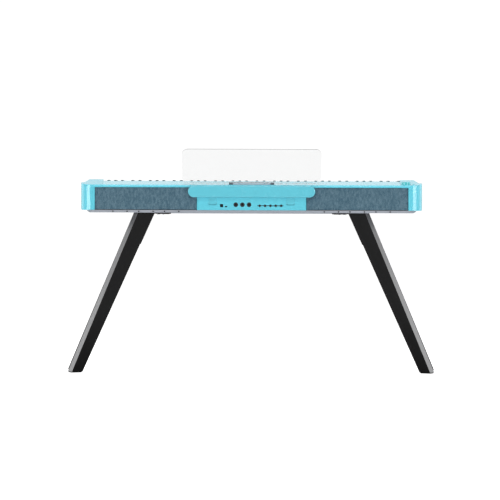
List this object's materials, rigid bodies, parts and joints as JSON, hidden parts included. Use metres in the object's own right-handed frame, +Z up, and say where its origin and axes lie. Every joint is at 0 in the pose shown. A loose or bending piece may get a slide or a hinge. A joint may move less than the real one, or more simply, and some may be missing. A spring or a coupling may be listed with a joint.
{
  "type": "digital piano",
  "caption": "Slim portable keyboard piano in a rounded case with cloth rear speakers, a folding handle and clear music rest, on splayed board legs.",
  "frame": {"origin": "on the floor, midway between the two ends and midway between the front face of the case and the rear edge of the leaning music rest", "axes": "+Z up from the floor, +Y towards the rear of the piano, +X towards the treble end, so the player sits on the -Y side"},
  "size_m": [1.4672, 0.3166, 0.8823],
  "materials": {
    "aqua_shell": "satin moulded plastic, pale turquoise",
    "handle_plastic": "satin moulded plastic, slightly deeper turquoise",
    "knob_plastic": "satin moulded plastic, deep turquoise",
    "pan_grey": "fine-textured mauve-grey plastic",
    "speaker_cloth": "woven melange cloth, blue-grey",
    "black_plastic": "fine-textured black plastic",
    "white_key": "glossy ivory-white plastic",
    "black_key": "satin black plastic",
    "button_white": "satin white plastic",
    "clear_acrylic": "polished clear acrylic",
    "satin_aluminium": "satin anodised aluminium",
    "dark_bracket": "satin dark grey paint",
    "steel": "bright steel",
    "zinc_steel": "light grey powder coat",
    "spring_bronze": "rolled spring bronze",
    "red_felt": "dense wool felt",
    "circuit_board": "green solder mask",
    "silicone": "translucent grey silicone",
    "cable": "black sleeved cable",
    "basket_steel": "black-grey painted steel",
    "cone_paper": "doped black paper",
    "leg_black": "black satin lacquer on board",
    "foot_rubber": "black rubber",
    "black_steel": "black powder coat on steel"
  },
  "bodies": {
    "piano": {"bottom_pan": "pan_grey", "key_slip": "aqua_shell", "cheek_bass": "aqua_shell", "cheek_treble": "aqua_shell", "top_cover": "aqua_shell", "rear_baffle": "black_plastic", "grille_frames": "black_plastic", "grille_cloth_bass": "speaker_cloth", "grille_cloth_treble": "speaker_cloth", "port_panel": "aqua_shell", "handle_pins": "steel", "rest_brackets": "dark_bracket", "rest_pins": "steel", "key_frame": "zinc_steel", "key_pivot_rod": "steel", "key_springs": "spring_bronze", "front_felt": "red_felt", "contact_board": "circuit_board", "contact_rubber": "silicone", "main_board": "circuit_board", "amplifier_board": "circuit_board", "wiring_loom": "cable", "speaker_baskets": "basket_steel", "speaker_cones": "cone_paper", "usb_socket": "black_plastic", "power_socket": "black_plastic", "large_jacks": "black_plastic", "small_jacks": "black_plastic", "volume_encoder": "steel", "button_switches": "black_plastic", "leg_rear_bass": "leg_black", "leg_rear_treble": "leg_black", "leg_front_bass": "leg_black", "leg_front_treble": "leg_black", "leg_brackets": "black_steel", "stand_bolts": "steel", "foot_pads": "foot_rubber", "rubber_feet": "foot_rubber", "case_screws": "black_steel"},
    "handle": {"carry_handle": "handle_plastic"},
    "rest": {"music_rest": "clear_acrylic", "rest_clamp": "satin_aluminium", "clamp_screws": "steel"},
    "volume": {"volume_knob": "knob_plastic"},
    "power": {"power_button": "knob_plastic"},
    "tone": {"tone_button": "button_white"},
    "rhythm": {"rhythm_button": "button_white"},
    "function": {"function_button": "button_white"},
    "key_c": {"keys_c": "white_key"},
    "key_c_sharp": {"keys_c_sharp": "black_key"},
    "key_d": {"keys_d": "white_key"},
    "key_d_sharp": {"keys_d_sharp": "black_key"},
    "key_e": {"keys_e": "white_key"},
    "key_f": {"keys_f": "white_key"},
    "key_f_sharp": {"keys_f_sharp": "black_key"},
    "key_g": {"keys_g": "white_key"},
    "key_g_sharp": {"keys_g_sharp": "black_key"},
    "key_a": {"keys_a": "white_key"},
    "key_a_sharp": {"keys_a_sharp": "black_key"},
    "key_b": {"keys_b": "white_key"}
  },
  "joints": [
    {"name": "handle_fold", "type": "hinge", "parent": "piano", "child": "handle", "pos_m": [0, 0.12069, 0.672], "axis": [-1, 0, 0], "range_deg": [0, 90]},
    {"name": "rest_fold", "type": "hinge", "parent": "piano", "child": "rest", "pos_m": [0, 0.1097, 0.746], "axis": [1, 0, 0], "range_deg": [0, 95]},
    {"name": "volume_turn", "type": "hinge", "parent": "piano", "child": "volume", "pos_m": [-0.6075, 0.0977, 0.74], "axis": [0, 0, -1], "range_deg": [-140, 140]},
    {"name": "power_press", "type": "slide", "parent": "piano", "child": "power", "axis": [0, 0, -1], "range_m": [0, 0.0015], "stiffness_N_per_m": 600, "springref_m": -0.0005},
    {"name": "tone_press", "type": "slide", "parent": "piano", "child": "tone", "axis": [0, 0, -1], "range_m": [0, 0.0012], "stiffness_N_per_m": 600, "springref_m": -0.0005},
    {"name": "rhythm_press", "type": "slide", "parent": "piano", "child": "rhythm", "axis": [0, 0, -1], "range_m": [0, 0.0012], "stiffness_N_per_m": 600, "springref_m": -0.0005},
    {"name": "function_press", "type": "slide", "parent": "piano", "child": "function", "axis": [0, 0, -1], "range_m": [0, 0.0012], "stiffness_N_per_m": 600, "springref_m": -0.0005},
    {"name": "key_c_press", "type": "hinge", "parent": "piano", "child": "key_c", "pos_m": [0, 0.05369, 0.731], "axis": [1, 0, 0], "range_deg": [0, 2.8], "stiffness_Nm_per_rad": 8, "springref_deg": -5.73},
    {"name": "key_c_sharp_press", "type": "hinge", "parent": "piano", "child": "key_c_sharp", "pos_m": [0, 0.05369, 0.731], "axis": [1, 0, 0], "range_deg": [0, 2.8], "stiffness_Nm_per_rad": 8, "springref_deg": -5.73},
    {"name": "key_d_press", "type": "hinge", "parent": "piano", "child": "key_d", "pos_m": [0, 0.05369, 0.731], "axis": [1, 0, 0], "range_deg": [0, 2.8], "stiffness_Nm_per_rad": 8, "springref_deg": -5.73},
    {"name": "key_d_sharp_press", "type": "hinge", "parent": "piano", "child": "key_d_sharp", "pos_m": [0, 0.05369, 0.731], "axis": [1, 0, 0], "range_deg": [0, 2.8], "stiffness_Nm_per_rad": 8, "springref_deg": -5.73},
    {"name": "key_e_press", "type": "hinge", "parent": "piano", "child": "key_e", "pos_m": [0, 0.05369, 0.731], "axis": [1, 0, 0], "range_deg": [0, 2.8], "stiffness_Nm_per_rad": 8, "springref_deg": -5.73},
    {"name": "key_f_press", "type": "hinge", "parent": "piano", "child": "key_f", "pos_m": [0, 0.05369, 0.731], "axis": [1, 0, 0], "range_deg": [0, 2.8], "stiffness_Nm_per_rad": 8, "springref_deg": -5.73},
    {"name": "key_f_sharp_press", "type": "hinge", "parent": "piano", "child": "key_f_sharp", "pos_m": [0, 0.05369, 0.731], "axis": [1, 0, 0], "range_deg": [0, 2.8], "stiffness_Nm_per_rad": 8, "springref_deg": -5.73},
    {"name": "key_g_press", "type": "hinge", "parent": "piano", "child": "key_g", "pos_m": [0, 0.05369, 0.731], "axis": [1, 0, 0], "range_deg": [0, 2.8], "stiffness_Nm_per_rad": 8, "springref_deg": -5.73},
    {"name": "key_g_sharp_press", "type": "hinge", "parent": "piano", "child": "key_g_sharp", "pos_m": [0, 0.05369, 0.731], "axis": [1, 0, 0], "range_deg": [0, 2.8], "stiffness_Nm_per_rad": 8, "springref_deg": -5.73},
    {"name": "key_a_press", "type": "hinge", "parent": "piano", "child": "key_a", "pos_m": [0, 0.05369, 0.731], "axis": [1, 0, 0], "range_deg": [0, 2.8], "stiffness_Nm_per_rad": 8, "springref_deg": -5.73},
    {"name": "key_a_sharp_press", "type": "hinge", "parent": "piano", "child": "key_a_sharp", "pos_m": [0, 0.05369, 0.731], "axis": [1, 0, 0], "range_deg": [0, 2.8], "stiffness_Nm_per_rad": 8, "springref_deg": -5.73},
    {"name": "key_b_press", "type": "hinge", "parent": "piano", "child": "key_b", "pos_m": [0, 0.05369, 0.731], "axis": [1, 0, 0], "range_deg": [0, 2.8], "stiffness_Nm_per_rad": 8, "springref_deg": -5.73}
  ]
}
